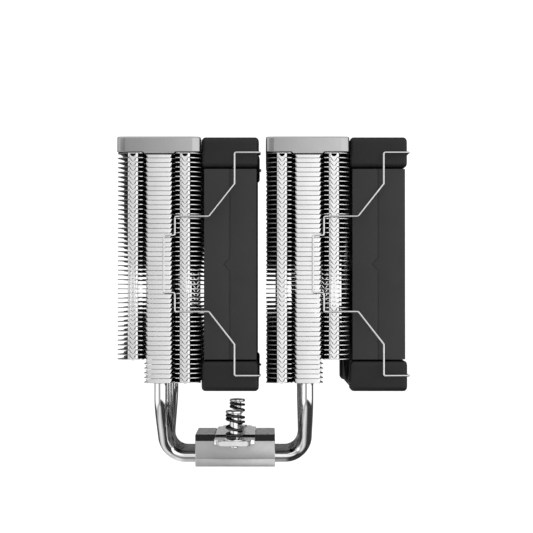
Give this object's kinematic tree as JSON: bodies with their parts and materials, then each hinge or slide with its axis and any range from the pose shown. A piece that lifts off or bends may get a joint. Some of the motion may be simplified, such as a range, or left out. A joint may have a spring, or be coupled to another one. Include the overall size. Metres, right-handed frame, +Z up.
{
  "type": "cpu tower cooler",
  "caption": "Dual-tower air cooler for a desktop processor: heat pipes rise from a clamped base into finned towers, with fans hooked on by wire clips.",
  "frame": {"origin": "centre of the cold plate's contact face", "axes": "+Z up, away from the processor; +X towards the side that air comes from; -Y is the near side"},
  "size_m": [0.1378, 0.13, 0.1598],
  "materials": {
    "cold_plate_nickel": "satin nickel plate",
    "base_nickel": "bead-blasted nickel plate",
    "black_cap": "black coated plate",
    "pipe_nickel": "polished nickel plate",
    "fin_aluminium": "bright nickel-plated sheet",
    "cover_aluminium": "satin anodised",
    "frame_plastic": "fine matt",
    "label": "plain dark label",
    "impeller_plastic": "satin",
    "steel": "ground",
    "magnet": "matt",
    "yoke_steel": "pressed",
    "brass": "turned",
    "board": "solder mask",
    "coil": "enamelled copper wire",
    "pad_rubber": "soft matt",
    "clip_wire": "bright spring wire",
    "crossbar_nickel": "sheared edges bright, faces bead-blasted",
    "screw_nickel": "bright nickel plate",
    "washer_nickel": "bright nickel plate",
    "spring_steel": "polished spring steel"
  },
  "bodies": {
    "heatsink": {"cold_plate": "cold_plate_nickel", "base_block": "base_nickel", "base_cap": "black_cap", "heat_pipe_1": "pipe_nickel", "heat_pipe_2": "pipe_nickel", "heat_pipe_3": "pipe_nickel", "heat_pipe_4": "pipe_nickel", "heat_pipe_5": "pipe_nickel", "heat_pipe_6": "pipe_nickel", "fin_stack_left": "fin_aluminium", "fin_stack_right": "fin_aluminium", "top_cover_left": "cover_aluminium", "top_cover_right": "cover_aluminium", "fan_frame_middle": "frame_plastic", "hub_label_middle": "label", "bearing_sleeve_middle": "brass", "circuit_board_middle": "board", "stator_middle": "coil", "pad_middle_far_lower": "pad_rubber", "pad_middle_far_upper": "pad_rubber", "pad_middle_near_lower": "pad_rubber", "pad_middle_near_upper": "pad_rubber", "fan_frame_outer": "frame_plastic", "hub_label_outer": "label", "bearing_sleeve_outer": "brass", "circuit_board_outer": "board", "stator_outer": "coil", "pad_outer_far_lower": "pad_rubber", "pad_outer_far_upper": "pad_rubber", "pad_outer_near_lower": "pad_rubber", "pad_outer_near_upper": "pad_rubber", "crossbar": "crossbar_nickel", "crossbar_screw_near": "screw_nickel", "crossbar_screw_far": "screw_nickel", "spring_washer_near": "washer_nickel", "spring_washer_far": "washer_nickel", "coil_spring_near": "spring_steel", "coil_spring_far": "spring_steel"},
    "rotor_middle": {"impeller_middle": "impeller_plastic", "motor_shaft_middle": "steel", "magnet_ring_middle": "magnet", "rotor_yoke_middle": "yoke_steel"},
    "clip_middle_near": {"clip_middle_near": "clip_wire"},
    "clip_middle_far": {"clip_middle_far": "clip_wire"},
    "rotor_outer": {"impeller_outer": "impeller_plastic", "motor_shaft_outer": "steel", "magnet_ring_outer": "magnet", "rotor_yoke_outer": "yoke_steel"},
    "clip_outer_near": {"clip_outer_near": "clip_wire"},
    "clip_outer_far": {"clip_outer_far": "clip_wire"},
    "screw_carrier_near": {"retaining_ring_near": "screw_nickel"},
    "spring_screw_near": {"spring_screw_near": "screw_nickel"},
    "screw_carrier_far": {"retaining_ring_far": "screw_nickel"},
    "spring_screw_far": {"spring_screw_far": "screw_nickel"}
  },
  "joints": [
    {"name": "rotor_middle_spin", "type": "hinge", "parent": "heatsink", "child": "rotor_middle", "pos_m": [-0.00155, 0, 0.0997], "axis": [1, 0, 0], "continuous": true},
    {"name": "rotor_outer_spin", "type": "hinge", "parent": "heatsink", "child": "rotor_outer", "pos_m": [0.06865, 0, 0.0997], "axis": [1, 0, 0], "continuous": true},
    {"name": "clip_middle_near_swing", "type": "hinge", "parent": "heatsink", "child": "clip_middle_near", "pos_m": [0.0125, -0.0516, 0.0997], "axis": [0, 0, 1], "range_deg": [0, 10]},
    {"name": "clip_middle_far_swing", "type": "hinge", "parent": "heatsink", "child": "clip_middle_far", "pos_m": [0.0125, 0.0516, 0.0997], "axis": [0, 0, -1], "range_deg": [0, 10]},
    {"name": "clip_outer_near_swing", "type": "hinge", "parent": "heatsink", "child": "clip_outer_near", "pos_m": [0.0827, -0.0516, 0.0997], "axis": [0, 0, 1], "range_deg": [0, 60]},
    {"name": "clip_outer_far_swing", "type": "hinge", "parent": "heatsink", "child": "clip_outer_far", "pos_m": [0.0827, 0.0516, 0.0997], "axis": [0, 0, -1], "range_deg": [0, 60]},
    {"name": "spring_screw_near_press", "type": "slide", "parent": "heatsink", "child": "screw_carrier_near", "axis": [0, 0, -1], "range_m": [0, 0.005], "stiffness_N_per_m": 8000, "deforming": ["coil_spring_near"]},
    {"name": "spring_screw_near_turn", "type": "hinge", "parent": "screw_carrier_near", "child": "spring_screw_near", "pos_m": [0, -0.0437, 0.0125], "axis": [0, 0, 1], "continuous": true},
    {"name": "spring_screw_far_press", "type": "slide", "parent": "heatsink", "child": "screw_carrier_far", "axis": [0, 0, -1], "range_m": [0, 0.005], "stiffness_N_per_m": 8000, "deforming": ["coil_spring_far"]},
    {"name": "spring_screw_far_turn", "type": "hinge", "parent": "screw_carrier_far", "child": "spring_screw_far", "pos_m": [0, 0.0437, 0.0125], "axis": [0, 0, 1], "continuous": true}
  ]
}
